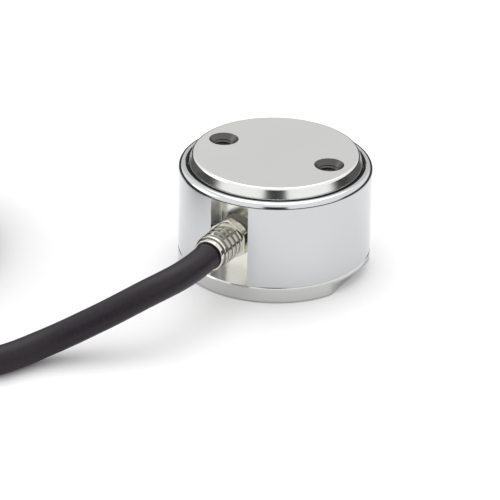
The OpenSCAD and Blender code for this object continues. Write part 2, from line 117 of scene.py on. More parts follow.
def end_in_reflections(paint, near, far):
    """The white sheet looks as if it ended between two radii, in reflections alone."""
    tree = paint.node_tree
    nodes, links = tree.nodes, tree.links
    colour = nodes["Principled BSDF"].inputs["Base Color"]
    place = nodes.new("ShaderNodeTexCoord")
    reach = nodes.new("ShaderNodeVectorMath")
    reach.operation = "LENGTH"
    ray = nodes.new("ShaderNodeLightPath")
    pick = nodes.new("ShaderNodeMix")
    pick.data_type = "RGBA"
    pick.inputs["A"].default_value = colour.default_value
    pick.inputs["B"].default_value = (0.02, 0.02, 0.02, 1)
    links.new(place.outputs["Object"], reach.inputs[0])
    past = mapped(tree, reach.outputs["Value"], near, far)
    both = worked(tree, "MULTIPLY", past, ray.outputs["Is Glossy Ray"])
    links.new(both, pick.inputs["Factor"])
    links.new(pick.outputs["Result"], colour)


end_in_reflections(table_paint, near=0.070, far=0.090)


def soft_light(name, place, target, size, watts):
    """A square softbox that faces the target."""
    lamp = bpy.data.lights.new(name, "AREA")
    lamp.shape = "SQUARE"
    lamp.size = size
    lamp.energy = watts
    holder = bpy.data.objects.new(name, lamp)
    bpy.context.scene.collection.objects.link(holder)
    way = Vector(target) - Vector(place)
    holder.matrix_world = (
        Matrix.Translation(Vector(place)) @ way.to_track_quat("-Z", "Y").to_matrix().to_4x4()
    )


cell_middle = (0, 0, 0.01)
soft_light("overhead", (-0.10, 0.25, 0.80), cell_middle, size=0.7, watts=2.0)
soft_light("left_fill", (-0.75, -0.30, 0.45), cell_middle, size=0.5, watts=1.0)


def studio_world(strength, low_band, lens_zone, dark_drop, rear_zone, rear_drop):
    """An even white studio. It is dark low down at the back and the sides, where the
    white table ends, and round the camera, and a little dimmer behind the cell. Each
    zone has four limits: it fades out between two of one measure and two of another."""
    room = bpy.data.worlds.new("studio")
    room.use_nodes = True
    tree = room.node_tree
    nodes, links = tree.nodes, tree.links

    def rest_of(value):
        return worked(tree, "SUBTRACT", 1.0, value)

    def between(value, low, high):
        """0 up to low and 1 from high, with a smooth step."""
        return mapped(tree, value, low, high, kind="SMOOTHSTEP")

    way = nodes.new("ShaderNodeTexCoord")
    parts = nodes.new("ShaderNodeSeparateXYZ")
    links.new(way.outputs["Generated"], parts.inputs[0])
    to_lens = nodes.new("ShaderNodeVectorMath")
    to_lens.operation = "DOT_PRODUCT"
    flat_back = Vector((camera_back.x, camera_back.y, 0)).normalized()
    to_lens.inputs[1].default_value = flat_back
    links.new(way.outputs["Generated"], to_lens.inputs[0])
    height = parts.outputs["Z"]
    ahead = to_lens.outputs["Value"]
    facing = worked(tree, "DIVIDE", ahead, worked(
        tree, "SQRT", rest_of(worked(tree, "MULTIPLY", height, height))
    ))
    dark_low = worked(
        tree, "MULTIPLY",
        rest_of(between(height, *low_band[:2])), rest_of(between(ahead, *low_band[2:])),
    )
    dark_lens = worked(
        tree, "MULTIPLY",
        between(facing, *lens_zone[:2]), rest_of(between(height, *lens_zone[2:])),
    )
    behind = worked(
        tree, "MULTIPLY",
        rest_of(between(facing, *rear_zone[:2])), rest_of(between(height, *rear_zone[2:])),
    )
    dark = worked(tree, "MAXIMUM", dark_low, dark_lens)
    light = worked(
        tree, "MULTIPLY",
        rest_of(worked(tree, "MULTIPLY", behind, rear_drop)),
        rest_of(worked(tree, "MULTIPLY", dark, dark_drop)),
    )
    links.new(worked(tree, "MULTIPLY", light, strength), nodes["Background"].inputs["Strength"])
    nodes["Background"].inputs["Color"].default_value = (1, 1, 1, 1)
    return room


bpy.context.scene.world = studio_world(
    strength=1.22,
    low_band=(0.17, 0.27, 0.05, 0.35),
    lens_zone=(0.955, 0.985, 0.45, 0.75),
    dark_drop=0.97,
    rear_zone=(-0.94, -0.80, 0.52, 0.72),
    rear_drop=0.30,
)
bpy.context.scene.view_settings.view_transform = "Standard"

# ---- Cable: jacket from the gland to its far end ----
# A round shielded cable, 5 mm across, with a smooth near-black jacket. It leaves the
# gland, sinks to the table and is wound into a low coil of three layers, held by a tie.
CABLE_D = 5 * MM
CABLE_R = 2.5
CABLE_SIDES = 28
ROUTE_STEP = 0.8
GLAND_Z = 11.8
cable_route = [
    (0, -17.9, 11.8), (0, -22, 11.8), (0, -26, 11.8), (0, -30, 11.8),
    (-0.7, -34, 11.5), (-2.2, -37.6, 10.9), (-4.1, -40.6, 10), (-6.2, -43.3, 8.8),
    (-8.4, -45.7, 7.5), (-10.7, -47.9, 6.2), (-12.9, -50.1, 5), (-15.1, -52.4, 3.9),
    (-17.1, -55, 3.1), (-18.9, -58, 2.6), (-20.6, -61.2, 2.5), (-23.3, -64.9, 2.5),
    (-26.9, -67.8, 2.5), (-31.1, -69.6, 2.5), (-35.6, -70.2, 2.5), (-40, -70.2, 2.5),
    (-45, -70.2, 2.5), (-50, -70.2, 2.5),
]
route = [Vector(p) for p in cable_route]
coil_run_in = 26.0
run_in_steps = 12
coil_slots = (30.5, 25.5, 20.5)  # radii of the three turns of a layer
coil_end = 2875  # degrees travelled from the join to the far end
coil_step = 4
end_way = (route[-1] - route[-2]).normalized()
coil_join = route[-1] + coil_run_in * end_way
coil_mid = coil_join + coil_slots[0] * Vector((end_way.y, -end_way.x, 0))
join_angle = math.degrees(math.atan2(end_way.x, -end_way.y))
tie_at = join_angle + 215
tie_lift = 0.6
lift_reach, lift_fade = 1.3, 32  # the lift ends 1.3 times 32 degrees from the tie


def eased(x):
    """0 before 0, 1 after 1, and a smooth step between them."""
    return 0.5 - 0.5 * math.cos(math.pi * max(0.0, min(1.0, x)))


def rounded_route(points, step):
    """Points about a step apart on a smooth curve through the given ones."""
    line = []
    for i in range(len(points) - 1):
        a, b = points[i], points[i + 1]
        before = points[i - 1] if i else 2 * a - b
        after = points[i + 2] if i + 2 < len(points) else 2 * b - a
        pieces = max(2, round((b - a).length / step))
        for k in range(pieces):
            t = k / pieces
            line.append(
                0.5 * (2 * a + (b - before) * t
                       + (2 * before - 5 * a + 4 * b - after) * t * t
                       + (3 * a - before - 3 * b + after) * t ** 3)
            )
    return line + [points[-1]]


# Where a turn changes to the next slot: angle travelled, degrees taken, and which way
coil_shifts = (
    (270, 85, -1), (630, 85, -1), (1270, 80, 1), (1630, 80, 1), (2270, 80, -1), (2630, 80, -1),
)
coil_climbs = (950, 1950)  # where it rises to the next layer, over climb_turn degrees
climb_turn = 80


def coil_radius(turned):
    """Radius at an angle travelled from the join: inwards, outwards and inwards again."""
    radius = coil_slots[0]
    for start, sweep, way in coil_shifts:
        radius += way * CABLE_D / MM * eased((turned - start) / sweep)
    return radius


def coil_height(turned):
    """Height at an angle travelled: it climbs to the next layer at two places, and the
    whole bundle lies on the tie's strap where that passes under it."""
    climb = sum(CABLE_D / MM * eased((turned - start) / climb_turn) for start in coil_climbs)
    off_tie = (join_angle - turned - tie_at + 180) % 360 - 180
    return CABLE_R + climb + tie_lift * eased(lift_reach - abs(off_tie) / lift_fade)


def coil_spot(turned, radius, height):
    """The point at an angle travelled from the join, with that radius and height."""
    angle = math.radians(join_angle - turned)
    return Vector((
        coil_mid.x + radius * math.cos(angle), coil_mid.y + radius * math.sin(angle), height,
    ))


run_in = [
    route[-1] + end_way * coil_run_in * k / run_in_steps for k in range(run_in_steps)
]
coil = [
    coil_spot(a, coil_radius(a), coil_height(a)) for a in range(0, coil_end + 1, coil_step)
]
cable_line = rounded_route(route + [run_in[1]], ROUTE_STEP)[:-1] + run_in[1:] + coil


def piece_from(name, build):
    """An object in the scene, made from a finished bmesh."""
    mesh = bpy.data.meshes.new(name)
    build.to_mesh(mesh)
    build.free()
    piece = bpy.data.objects.new(name, mesh)
    bpy.context.scene.collection.objects.link(piece)
    return piece


def tube_along(name, points, radius, sides):
    """A closed round tube along points in millimetres. radius is a number, or one for
    each point. Its UV map gives the share of the way round, and millimetres along."""
    radii = radius if isinstance(radius, list) else [radius] * len(points)
    ways = [
        (points[min(i + 1, len(points) - 1)] - points[max(i - 1, 0)]).normalized()
        for i in range(len(points))
    ]
    across = ways[0].orthogonal().normalized()
    build = bmesh.new()
    map_layer = build.loops.layers.uv.new("along")
    rings, travelled, lengths = [], 0.0, []
    for i, (point, way) in enumerate(zip(points, ways)):
        across = (across - way * across.dot(way)).normalized()
        other = way.cross(across)
        rings.append([
            build.verts.new((
                point + radii[i] * (math.cos(a) * across + math.sin(a) * other)
            ) * MM)
            for a in (2 * math.pi * k / sides for k in range(sides))
        ])
        travelled += (point - points[i - 1]).length if i else 0
        lengths.append(travelled)
    for i in range(len(rings) - 1):
        for k in range(sides):
            j = (k + 1) % sides
            face = build.faces.new(
                (rings[i][k], rings[i][j], rings[i + 1][j], rings[i + 1][k])
            )
            corners = ((k, i), (k + 1, i), (k + 1, i + 1), (k, i + 1))
            for loop, (u, v) in zip(face.loops, corners):
                loop[map_layer].uv = (u / sides, lengths[v])
    build.faces.new(rings[0][::-1])
    build.faces.new(rings[-1])
    piece = piece_from(name, build)
    piece.data.shade_smooth()
    piece.data.set_sharp_from_angle(angle=math.radians(50))
    return piece


def named_sockets(tree, defaults, results=()):
    """Gives a node group its number inputs, each with a default, and its results."""
    for name, default in defaults.items():
        socket = tree.interface.new_socket(name, in_out="INPUT", socket_type="NodeSocketFloat")
        socket.default_value = default
    for name in results:
        tree.interface.new_socket(name, in_out="OUTPUT", socket_type="NodeSocketFloat")


def grain_group():
    """Fine grain that changes over a surface: a value round 0.5, and a height."""
    tree = bpy.data.node_groups.new("fine_grain", "ShaderNodeTree")
    named_sockets(
        tree, {"Size": 900.0, "Blotch Size": 60.0, "Blotch": 0.3}, ("Value", "Height")
    )
    ins = tree.nodes.new("NodeGroupInput")
    outs = tree.nodes.new("NodeGroupOutput")
    place = tree.nodes.new("ShaderNodeTexCoord")
    fine = tree.nodes.new("ShaderNodeTexNoise")
    fine.inputs["Detail"].default_value = 3
    blotch = tree.nodes.new("ShaderNodeTexNoise")
    blotch.inputs["Detail"].default_value = 2
    mix = tree.nodes.new("ShaderNodeMix")
    tree.links.new(place.outputs["Object"], fine.inputs["Vector"])
    tree.links.new(place.outputs["Object"], blotch.inputs["Vector"])
    tree.links.new(ins.outputs["Size"], fine.inputs["Scale"])
    tree.links.new(ins.outputs["Blotch Size"], blotch.inputs["Scale"])
    tree.links.new(ins.outputs["Blotch"], mix.inputs["Factor"])
    tree.links.new(fine.outputs["Fac"], mix.inputs["A"])
    tree.links.new(blotch.outputs["Fac"], mix.inputs["B"])
    tree.links.new(mix.outputs["Result"], outs.inputs["Value"])
    tree.links.new(fine.outputs["Fac"], outs.inputs["Height"])
    return tree


fine_grain = grain_group()


def relief(tree, height, strength, distance):
    """Gives the shader a relief: a height, its strength, and its depth in millimetres."""
    bump = tree.nodes.new("ShaderNodeBump")
    bump.inputs["Strength"].default_value = strength
    bump.inputs["Distance"].default_value = distance * MM
    tree.links.new(height, bump.inputs["Height"])
    tree.links.new(bump.outputs["Normal"], tree.nodes["Principled BSDF"].inputs["Normal"])


def two_tone(tree, value, dark, light, roughness):
    """Moves the shader's colour and roughness between two ends, by a value of 0 to 1."""
    shader = tree.nodes["Principled BSDF"]
    colour = tree.nodes.new("ShaderNodeMix")
    colour.data_type = "RGBA"
    colour.inputs["A"].default_value = (*dark, 1)
    colour.inputs["B"].default_value = (*light, 1)
    tree.links.new(value, colour.inputs["Factor"])
    tree.links.new(colour.outputs["Result"], shader.inputs["Base Color"])
    tree.links.new(mapped(tree, value, 0.0, 1.0, *roughness), shader.inputs["Roughness"])


def grained(name, dark, light, roughness, bump=0.02, size=900.0, coat=0.0, shine=0.5):
    """Plastic, rubber or enamel: two near colours and a roughness that the grain moves."""
    paint = bpy.data.materials.new(name)
    paint.use_nodes = True
    tree = paint.node_tree
    grain = tree.nodes.new("ShaderNodeGroup")
    grain.node_tree = fine_grain
    grain.inputs["Size"].default_value = size
    grain.inputs["Blotch Size"].default_value = size / 12
    two_tone(tree, mapped(tree, grain.outputs["Value"], 0.35, 0.65), dark, light, roughness)
    relief(tree, grain.outputs["Height"], bump, distance=0.1)
    shader = tree.nodes["Principled BSDF"]
    shader.inputs["Coat Weight"].default_value = coat
    shader.inputs["Specular IOR Level"].default_value = shine
    return paint


signal_cable = tube_along("signal_cable", cable_line, CABLE_R, CABLE_SIDES)
signal_cable.data.materials.append(grained(
    "cable_jacket", (0.0075, 0.0045, 0.0078), (0.0125, 0.0078, 0.0132), (0.34, 0.46),
    bump=0.10, size=1400, shine=0.3,
))
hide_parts("cable_run", "cable_coil")
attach(signal_cable, "root")

# ---- Base plate ----
# The flange that the cell stands on, turned from stainless steel with a spigot on top.
# Two flats are milled for a wrench, and its middle has a tapped hole from below.
BODY_R = 18.0
TURNS = 256
TOOL_TURNS = 96
TOOL_OVER = 0.5  # how far a countersink's tool stands out of the face
TOOL_OUT = 20.0  # past the body's side
SINK = 1.1  # depth of a countersink, and how much wider it is than its bore


def turned(name, outline, turns=TURNS):
    """A turned solid: the outline, in millimetres of radius and height, runs upwards on
    the outside, and starts and ends on the axis or closes on itself."""
    build = bmesh.new()
    rings = []
    for radius, height in outline:
        if radius < 1e-6:
            rings.append([build.verts.new((0, 0, height * MM))])
        else:
            rings.append([
                build.verts.new(
                    (radius * MM * math.cos(a), radius * MM * math.sin(a), height * MM)
                )
                for a in (2 * math.pi * k / turns for k in range(turns))
            ])
    closed = outline[0][0] > 1e-6
    for i in range(len(rings) - (0 if closed else 1)):
        low, high = rings[i], rings[(i + 1) % len(rings)]
        for k in range(turns):
            j = (k + 1) % turns
            if len(low) == 1:
                build.faces.new((low[0], high[j], high[k]))
            elif len(high) == 1:
                build.faces.new((low[k], low[j], high[0]))
            else:
                build.faces.new((low[k], low[j], high[j], high[k]))
    bmesh.ops.recalc_face_normals(build, faces=build.faces[:])
    return piece_from(name, build)


def corner(radius, height, size, start, steps=8):
    """Points of a rounded corner round a centre, over a quarter turn from an angle."""
    return [
        (radius + size * math.cos(math.radians(start + 90 * k / steps)),
         height + size * math.sin(math.radians(start + 90 * k / steps)))
        for k in range(steps + 1)
    ]


def plain_mesh(piece):
    """Makes the piece's mesh the one that its modifiers give, and removes them."""
    shown = piece.evaluated_get(bpy.context.evaluated_depsgraph_get())
    mesh = bpy.data.meshes.new_from_object(shown)
    piece.modifiers.clear()
    piece.data = mesh
    return piece


def joined(piece, other, way):
    """Joins two closed solids, keeps what they share, or takes the other one away."""
    join = piece.modifiers.new("join", "BOOLEAN")
    join.operation = way
    join.solver = "EXACT"
    join.object = other
    plain_mesh(piece)
    bpy.data.objects.remove(other)
    return piece


def cut_away(piece, tool):
    """Cuts the tool's shape out of the piece and drops the tool."""
    return joined(piece, tool, "DIFFERENCE")


def block(name, low, high):
    """A square-cornered block between two corners in millimetres."""
    build = bmesh.new()
    bmesh.ops.create_cube(build, size=1)
    for vert in build.verts:
        vert.co = Vector(
            (low[i] if vert.co[i] < 0 else high[i]) * MM for i in range(3)
        )
    return piece_from(name, build)


def sink_tool(name, bore_r, face_z, way):
    """A tool for a countersink of 45 degrees in a face that looks up, 1, or down, -1."""
    outline = [
        (0, face_z - way * SINK), (bore_r, face_z - way * SINK), (bore_r + SINK, face_z),
        (bore_r + SINK + TOOL_OVER, face_z + way * TOOL_OVER), (0, face_z + way * TOOL_OVER),
    ]
    return turned(name, outline[::way], TOOL_TURNS)


def moved(piece, matrix):
    """Moves the piece's mesh, in millimetres, and leaves its object where it is."""
    shift = matrix.copy()
    shift.translation *= MM
    piece.data.transform(shift)
    return piece


def thread_tree(rows_per_turn=14):
    """Geometry Nodes for a tap: a round bar whose side follows a screw thread. Half a
    pitch goes up from the root, between two flats, to the crest, and half goes back."""
    tree = bpy.data.node_groups.new("tap", "GeometryNodeTree")
    tree.interface.new_socket("Geometry", in_out="OUTPUT", socket_type="NodeSocketGeometry")
    named_sockets(tree, {"Bore Radius": 1.65, "Depth": 0.3, "Pitch": 0.7, "Length": 5.0})
    nodes, links = tree.nodes, tree.links
    ins, outs = nodes.new("NodeGroupInput"), nodes.new("NodeGroupOutput")
    bar = nodes.new("GeometryNodeMeshCylinder")
    bar.fill_type = "NGON"
    bar.inputs["Vertices"].default_value = 48
    turns = worked(tree, "DIVIDE", ins.outputs["Length"], ins.outputs["Pitch"])
    rows = worked(tree, "MULTIPLY_ADD", turns, rows_per_turn, 1)
    links.new(rows, bar.inputs["Side Segments"])
    links.new(ins.outputs["Bore Radius"], bar.inputs["Radius"])
    links.new(ins.outputs["Length"], bar.inputs["Depth"])
    place = nodes.new("GeometryNodeInputPosition")
    parts = nodes.new("ShaderNodeSeparateXYZ")
    links.new(place.outputs[0], parts.inputs[0])
    angle = worked(tree, "ARCTAN2", parts.outputs["Y"], parts.outputs["X"])
    share = worked(tree, "DIVIDE", angle, 2 * math.pi)
    height = worked(tree, "DIVIDE", parts.outputs["Z"], ins.outputs["Pitch"])
    ramp = worked(tree, "PINGPONG", worked(tree, "SUBTRACT", height, share), 0.5)
    crest = mapped(tree, ramp, 0.06, 0.44, 0.0, ins.outputs["Depth"])
    flat = nodes.new("ShaderNodeCombineXYZ")
    links.new(parts.outputs["X"], flat.inputs["X"])
    links.new(parts.outputs["Y"], flat.inputs["Y"])
    outward = nodes.new("ShaderNodeVectorMath")
    outward.operation = "NORMALIZE"
    links.new(flat.outputs[0], outward.inputs[0])
    push = nodes.new("ShaderNodeVectorMath")
    push.operation = "SCALE"
    links.new(outward.outputs[0], push.inputs[0])
    links.new(crest, push.inputs["Scale"])
    set_place = nodes.new("GeometryNodeSetPosition")
    links.new(bar.outputs["Mesh"], set_place.inputs["Geometry"])
    links.new(push.outputs[0], set_place.inputs["Offset"])
    real = nodes.new("GeometryNodeRealizeInstances")
    links.new(set_place.outputs[0], real.inputs[0])
    metal = nodes.new("GeometryNodeSetMaterial")
    metal.inputs["Material"].default_value = bpy.data.materials.new("tap_metal")
    links.new(real.outputs[0], metal.inputs[0])
    links.new(metal.outputs[0], outs.inputs[0])
    return tree


tap_tree = thread_tree()


def tap(name, bore_r, depth, pitch, length, place):
    """A tap of that size, its middle at a place in millimetres, to be cut away."""
    piece = piece_from(name, bmesh.new())
    rule = piece.modifiers.new("tap", "NODES")
    rule.node_group = tap_tree
    sizes = {"Bore Radius": bore_r, "Depth": depth, "Pitch": pitch, "Length": length}
    for item in tap_tree.interface.items_tree:
        if item.in_out == "INPUT":
            rule[item.identifier] = float(sizes[item.name])
    plain_mesh(piece)
    piece.data.transform(Matrix.Scale(MM, 4))
    piece.data.transform(Matrix.Translation(Vector(place) * MM))
    piece.data.materials.clear()
    return piece


def finish_edges(piece, angle=28):
    """Smooth faces with sharp edges, and normals that keep the large faces flat."""
    build = bmesh.new()
    build.from_mesh(piece.data)
    bmesh.ops.remove_doubles(build, verts=build.verts[:], dist=1e-7)
    bmesh.ops.dissolve_degenerate(build, edges=build.edges[:], dist=1e-7)
    build.to_mesh(piece.data)
    build.free()
    piece.data.shade_smooth()
    piece.data.set_sharp_from_angle(angle=math.radians(angle))
    weigh = piece.modifiers.new("weigh", "WEIGHTED_NORMAL")
    weigh.keep_sharp = True
    weigh.weight = 100
    return piece


def lathe_group():
    """Marks of turning: fine rings round the axis on faces, and rings up the sides.
    It gives a value round 0.5 and a height, both from the place on the metal."""
    tree = bpy.data.node_groups.new("turning_marks", "ShaderNodeTree")
    named_sockets(
        tree, {"Fineness": 9000.0, "Haze Size": 70.0, "Haze": 0.4}, ("Value", "Height")
    )
    nodes, links = tree.nodes, tree.links
    ins, outs = nodes.new("NodeGroupInput"), nodes.new("NodeGroupOutput")
    place = nodes.new("ShaderNodeTexCoord")
    parts = nodes.new("ShaderNodeSeparateXYZ")
    links.new(place.outputs["Object"], parts.inputs[0])
    flat = nodes.new("ShaderNodeCombineXYZ")
    links.new(parts.outputs["X"], flat.inputs["X"])
    links.new(parts.outputs["Y"], flat.inputs["Y"])
    radius = nodes.new("ShaderNodeVectorMath")
    radius.operation = "LENGTH"
    links.new(flat.outputs[0], radius.inputs[0])
    ring = nodes.new("ShaderNodeCombineXYZ")
    links.new(radius.outputs["Value"], ring.inputs["X"])
    links.new(parts.outputs["Z"], ring.inputs["Y"])
    marks = nodes.new("ShaderNodeTexNoise")
    marks.noise_dimensions = "2D"
    marks.inputs["Detail"].default_value = 4
    marks.inputs["Roughness"].default_value = 0.7
    links.new(ring.outputs[0], marks.inputs["Vector"])
    links.new(ins.outputs["Fineness"], marks.inputs["Scale"])
    haze = nodes.new("ShaderNodeTexNoise")
    haze.inputs["Detail"].default_value = 3
    links.new(place.outputs["Object"], haze.inputs["Vector"])
    links.new(ins.outputs["Haze Size"], haze.inputs["Scale"])
    mix = nodes.new("ShaderNodeMix")
    links.new(ins.outputs["Haze"], mix.inputs["Factor"])
    links.new(marks.outputs["Fac"], mix.inputs["A"])
    links.new(haze.outputs["Fac"], mix.inputs["B"])
    links.new(mix.outputs["Result"], outs.inputs["Value"])
    links.new(marks.outputs["Fac"], outs.inputs["Height"])
    return tree


turning_marks = lathe_group()


def turned_metal(name, colour, roughness, bump, haze=0.4, dim=0.94):
    """Bare or plated metal with turning marks in its gloss and its relief."""
    paint = bpy.data.materials.new(name)
    paint.use_nodes = True
    tree = paint.node_tree
    tree.nodes["Principled BSDF"].inputs["Metallic"].default_value = 1.0
    marks = tree.nodes.new("ShaderNodeGroup")
    marks.node_tree = turning_marks
    marks.inputs["Haze"].default_value = haze
    spread = mapped(tree, marks.outputs["Value"], 0.3, 0.7)
    two_tone(tree, spread, tuple(dim * c for c in colour), colour, roughness)
    relief(tree, marks.outputs["Height"], bump, distance=0.01)
    return paint


def repaint(node_name, paint):
    """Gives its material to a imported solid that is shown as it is."""
    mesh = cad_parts[node_name].data
    mesh.materials.clear()
    mesh.materials.append(paint)


BASE_H = 3.0
FOOT_Z = 6.0
JOINT_BEVEL = 0.2
SEAL_OUT_R, SEAL_IN_R, SEAL_DEPTH = 12.75, 11.65, 1.0
SPIGOT_R = 8.95
FLATS_X, FLATS_TOP = 16.1, 2.4
BASE_BORE_R = 2.5
BASE_HOLE_DEPTH, BASE_TAP_OUT = 4.5, 1.0
base = turned("base_flange", [
    (0, 0), (BODY_R - JOINT_BEVEL, 0), (BODY_R, JOINT_BEVEL),
    (BODY_R, BASE_H - JOINT_BEVEL), (BODY_R - JOINT_BEVEL, BASE_H), (SEAL_OUT_R, BASE_H),
    (SEAL_OUT_R, BASE_H - SEAL_DEPTH), (SEAL_IN_R, BASE_H - SEAL_DEPTH),
    (SEAL_IN_R, BASE_H), (SPIGOT_R, BASE_H), (SPIGOT_R, FOOT_Z), (0, FOOT_Z),
])
for side in (-1, 1):
    cut_away(base, block(
        "wrench_flat", (side * FLATS_X, -TOOL_OUT, -1), (side * TOOL_OUT, TOOL_OUT, FLATS_TOP)
    ))
cut_away(base, tap(
    "base_tap", bore_r=BASE_BORE_R, depth=0.42, pitch=1.0,
    length=BASE_HOLE_DEPTH + BASE_TAP_OUT, place=(0, 0, (BASE_HOLE_DEPTH - BASE_TAP_OUT) / 2),
))
cut_away(base, sink_tool("base_sink", BASE_BORE_R, 0, -1))
finish_edges(base)
base.data.materials.append(
    turned_metal("base_steel", (0.60, 0.60, 0.595), (0.10, 0.20), bump=0.05)
)
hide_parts("base_plate")
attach(base, "root")

black_rubber = grained(
    "black_rubber", (0.004, 0.004, 0.004), (0.010, 0.010, 0.011), (0.6, 0.8), shine=0.15
)
repaint("base_seal_ring", black_rubber)

# ---- Spring column with its load plate ----
# One piece of hardened steel: a foot, the gauged column with four flats, and the plate
# that takes the load. The plate is ground, and has two tapped holes with countersinks.
PLATE_TOP = 22.0
PLATE_R = 16.1
PLATE_Z = 19.7
LEAN_Z = 20.0
BOSS_R, BOSS_Z = 13.4, 15.3
COLUMN_R, COLUMN_Z = 6.0, 7.5
COLUMN_HALF = 4.8
FILLET = 0.8
fillet_r = COLUMN_R + FILLET
low_fillet_z, high_fillet_z = COLUMN_Z + FILLET, BOSS_Z - FILLET
# The plate's side leans in from the rim's height and ends in a soft upper edge
plate_side = [
    (PLATE_R, LEAN_Z), (PLATE_R - 0.03, LEAN_Z + 0.25), (PLATE_R - 0.12, LEAN_Z + 0.45),
    (15.56, 21.55), (15.47, 21.74), (15.34, 21.87), (15.18, 21.955), (14.98, PLATE_TOP),
]
spring = turned("spring_and_plate", (
    [(0, FOOT_Z), (SPIGOT_R, FOOT_Z), (SPIGOT_R, COLUMN_Z), (fillet_r, COLUMN_Z)]
    + [(fillet_r - FILLET * math.sin(math.radians(a)),
        low_fillet_z - FILLET * math.cos(math.radians(a))) for a in range(15, 91, 15)]
    + [(fillet_r - FILLET * math.cos(math.radians(a)),
        high_fillet_z + FILLET * math.sin(math.radians(a))) for a in range(0, 91, 15)]
    + [(BOSS_R, BOSS_Z), (BOSS_R, PLATE_Z), (PLATE_R, PLATE_Z)]
    + plate_side
    + [(0, PLATE_TOP)]
))
flat_reach = 6.6
for quarter in range(4):
    flat = block("gauge_flat", (-flat_reach, -flat_reach, low_fillet_z),
                 (flat_reach, -COLUMN_HALF, high_fillet_z))
    cut_away(spring, moved(flat, Matrix.Rotation(quarter * math.pi / 2, 4, "Z")))
HOLE_X = 11.0
HOLE_BORE_R = 1.65
HOLE_DEPTH, TAP_OUT = 5.5, 0.8
for side in (-1, 1):
    cut_away(spring, tap(
        "plate_tap", bore_r=HOLE_BORE_R, depth=0.3, pitch=0.7, length=HOLE_DEPTH + TAP_OUT,
        place=(side * HOLE_X, 0, PLATE_TOP - (HOLE_DEPTH - TAP_OUT) / 2),
    ))
    sink = sink_tool("plate_sink", HOLE_BORE_R, PLATE_TOP, 1)
    cut_away(spring, moved(sink, Matrix.Translation((side * HOLE_X, 0, 0))))
finish_edges(spring)
spring.data.materials.append(
    turned_metal("plate_steel", (0.72, 0.72, 0.71), (0.13, 0.24), bump=0.06, haze=0.5)
)
spring.data.materials.append(turned_metal(
    "tapped_steel_painted_shade", (0.12, 0.115, 0.11), (0.22, 0.38), bump=0.05, haze=0.6, dim=0.55
))
# The walls of the tapped holes and their countersinks get the darker steel: painted shade, for the
# shade that falls inside the holes
hole_reach = HOLE_BORE_R + SINK - 0.03
hole_low_z = PLATE_TOP - HOLE_DEPTH - 0.5
for face in spring.data.polygons:
    spot = face.center / MM
    in_hole = math.hypot(abs(spot.x) - HOLE_X, spot.y) < hole_reach and spot.z > hole_low_z
    if in_hole and abs(face.normal.z) < 0.9:
        face.material_index = 1
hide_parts("spring_column")
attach(spring, "root")

# ---- Strain gauges, solder strips and wires ----
# Foil grids on amber film are glued to the column's four flats. Short wires lead from
# the solder strips below them to the bridge board. All of this is sealed in the cell.


def film_and_foil(name, film, foil, foil_from):
    """Amber film, with bare metal where the surface lies far enough from the axis."""
    paint = grained(name, tuple(0.7 * c for c in film), film, (0.25, 0.4), size=1500)
    tree = paint.node_tree
    nodes, links = tree.nodes, tree.links
    shader = nodes["Principled BSDF"]
    place = nodes.new("ShaderNodeTexCoord")
    sizes = nodes.new("ShaderNodeVectorMath")
    sizes.operation = "ABSOLUTE"
    parts = nodes.new("ShaderNodeSeparateXYZ")
    pick = nodes.new("ShaderNodeMix")
    pick.data_type = "RGBA"
    pick.inputs["B"].default_value = (*foil, 1)
    was = shader.inputs["Base Color"].links[0].from_socket
    links.new(place.outputs["Object"], sizes.inputs[0])
    links.new(sizes.outputs[0], parts.inputs[0])
    far = worked(tree, "MAXIMUM", parts.outputs["X"], parts.outputs["Y"])
    is_foil = worked(tree, "GREATER_THAN", far, foil_from * MM)
    links.new(is_foil, pick.inputs["Factor"])
    links.new(was, pick.inputs["A"])
    links.new(pick.outputs["Result"], shader.inputs["Base Color"])
    links.new(is_foil, shader.inputs["Metallic"])
    return paint


gauge_foil_z, strip_pad_z = 0.145, 0.175  # heights of bare metal above a flat
gauge_film = film_and_foil(
    "gauge_film", (0.62, 0.36, 0.10), (0.62, 0.50, 0.36), COLUMN_HALF + gauge_foil_z
)
strip_film = film_and_foil(
    "strip_film", (0.45, 0.26, 0.08), (0.78, 0.78, 0.76), COLUMN_HALF + strip_pad_z
)
for side in ("front", "right", "back", "left"):
    repaint("gauge_" + side, gauge_film)
repaint("terminal_strips", strip_film)
repaint("gauge_wires", grained(
    "wire_enamel", (0.30, 0.05, 0.02), (0.48, 0.10, 0.05), (0.2, 0.3),
    bump=0.01, size=2000, coat=0.5,
))
repaint("bridge_board", grained(
    "board_green", (0.012, 0.10, 0.035), (0.02, 0.17, 0.06), (0.3, 0.4), bump=0.05, size=2500,
))
repaint("trim_resistors", grained(
    "resistor_black", (0.015, 0.015, 0.018), (0.05, 0.05, 0.055), (0.4, 0.6),
))

# ---- Housing ring ----
# The steel body, turned in one piece: gauge chamber, shelf, recess and bright rim. A
# pocket is milled in its side for the gland, open at the foot, and bored through.
RIM_TOP = 20.0
RIM_IN_R = 16.65
RIM_EDGE_R = 1.1
RIM_BREAK = 0.08
RECESS_Z = 19.5
SHELF_R, SHELF_Z = 13.7, 15.0
CHAMBER_R = 9.0
housing = turned("housing_body", (
    [(CHAMBER_R, BASE_H), (BODY_R - JOINT_BEVEL, BASE_H), (BODY_R, BASE_H + JOINT_BEVEL)]
    + corner(BODY_R - RIM_EDGE_R, RIM_TOP - RIM_EDGE_R, RIM_EDGE_R, 0)
    + [(RIM_IN_R + RIM_BREAK, RIM_TOP), (RIM_IN_R, RIM_TOP - RIM_BREAK), (RIM_IN_R, RECESS_Z),
       (SHELF_R, RECESS_Z), (SHELF_R, SHELF_Z), (CHAMBER_R, SHELF_Z)]
))
POCKET_HALF = 3.8
POCKET_BACK = 14.5
POCKET_FOOT, POCKET_TOP = 2.0, 19.0
POCKET_CORNER = 0.6
NECK_HOLE_R = 2.55
